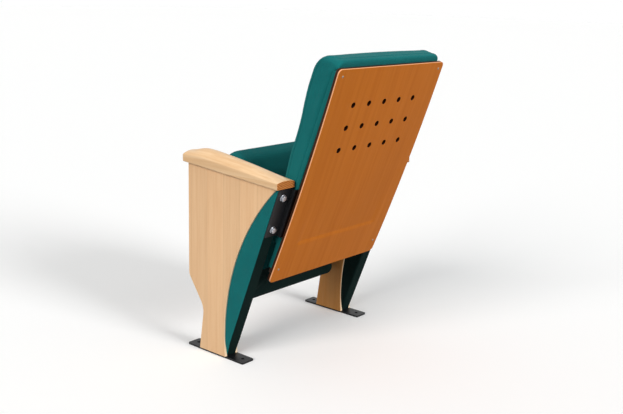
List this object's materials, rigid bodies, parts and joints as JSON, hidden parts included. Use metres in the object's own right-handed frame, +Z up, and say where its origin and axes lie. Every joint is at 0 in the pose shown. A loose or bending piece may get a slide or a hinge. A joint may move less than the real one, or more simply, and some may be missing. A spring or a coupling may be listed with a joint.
{
  "type": "tip up auditorium seat",
  "caption": "Upholstered auditorium seat with a tip-up cushion, a perforated moulded plywood back, beech-faced side standards and armrests, made to be bolted to the floor.",
  "frame": {"origin": "middle of the four floor anchor holes, at floor level", "axes": "+Z up, -Y the way the sitter faces, +X the sitter's left"},
  "size_m": [0.658, 0.5577, 0.9599],
  "materials": {
    "beech_side": "clear satin lacquer over beech veneer with faint upright staves",
    "beech_armrest": "clear satin lacquer over solid pale beech",
    "moulded_ply": "stained and lacquered moulded plywood, orange brown",
    "backing_ply": "dark stained plywood",
    "teal_fabric": "close woven teal upholstery cloth over foam",
    "black_steel": "black powder coat, fine texture",
    "zinc_steel": "bright zinc plate",
    "spring_steel": "oiled spring steel",
    "nylon": "natural nylon",
    "black_rubber": "black rubber"
  },
  "bodies": {
    "standards": {"left_foot_plate": "black_steel", "left_standard_frame": "black_steel", "left_side_core": "teal_fabric", "left_outer_panel": "beech_side", "left_inner_panel": "beech_side", "left_armrest": "beech_armrest", "left_back_bracket": "black_steel", "left_axle": "zinc_steel", "left_axle_clip": "zinc_steel", "left_spring_barrel": "black_steel", "left_return_spring": "spring_steel", "left_stop_pin": "zinc_steel", "left_stop_sleeve": "black_rubber", "right_foot_plate": "black_steel", "right_standard_frame": "black_steel", "right_side_core": "teal_fabric", "right_outer_panel": "beech_side", "right_inner_panel": "beech_side", "right_armrest": "beech_armrest", "right_back_bracket": "black_steel", "right_axle": "zinc_steel", "right_axle_clip": "zinc_steel", "right_spring_barrel": "black_steel", "right_return_spring": "spring_steel", "right_stop_pin": "zinc_steel", "right_stop_sleeve": "black_rubber", "back_panel": "moulded_ply", "back_board": "backing_ply", "back_cushion": "teal_fabric", "bracket_bolts": "zinc_steel", "bracket_washers": "zinc_steel", "back_board_screws": "zinc_steel", "back_panel_screws": "zinc_steel", "armrest_screws": "zinc_steel"},
    "seat": {"left_seat_arm": "black_steel", "left_pivot_bush": "nylon", "right_seat_arm": "black_steel", "right_pivot_bush": "nylon", "seat_cross_bar": "black_steel", "seat_board": "backing_ply", "seat_shell": "moulded_ply", "seat_cushion": "teal_fabric", "seat_screws": "zinc_steel", "seat_shell_screws": "zinc_steel"}
  },
  "joints": [
    {"name": "seat_tip", "type": "hinge", "parent": "standards", "child": "seat", "pos_m": [0, -0.016, 0.318], "axis": [1, 0, 0], "range_deg": [0, 85], "stiffness_Nm_per_rad": 6, "springref_deg": -57.3}
  ]
}
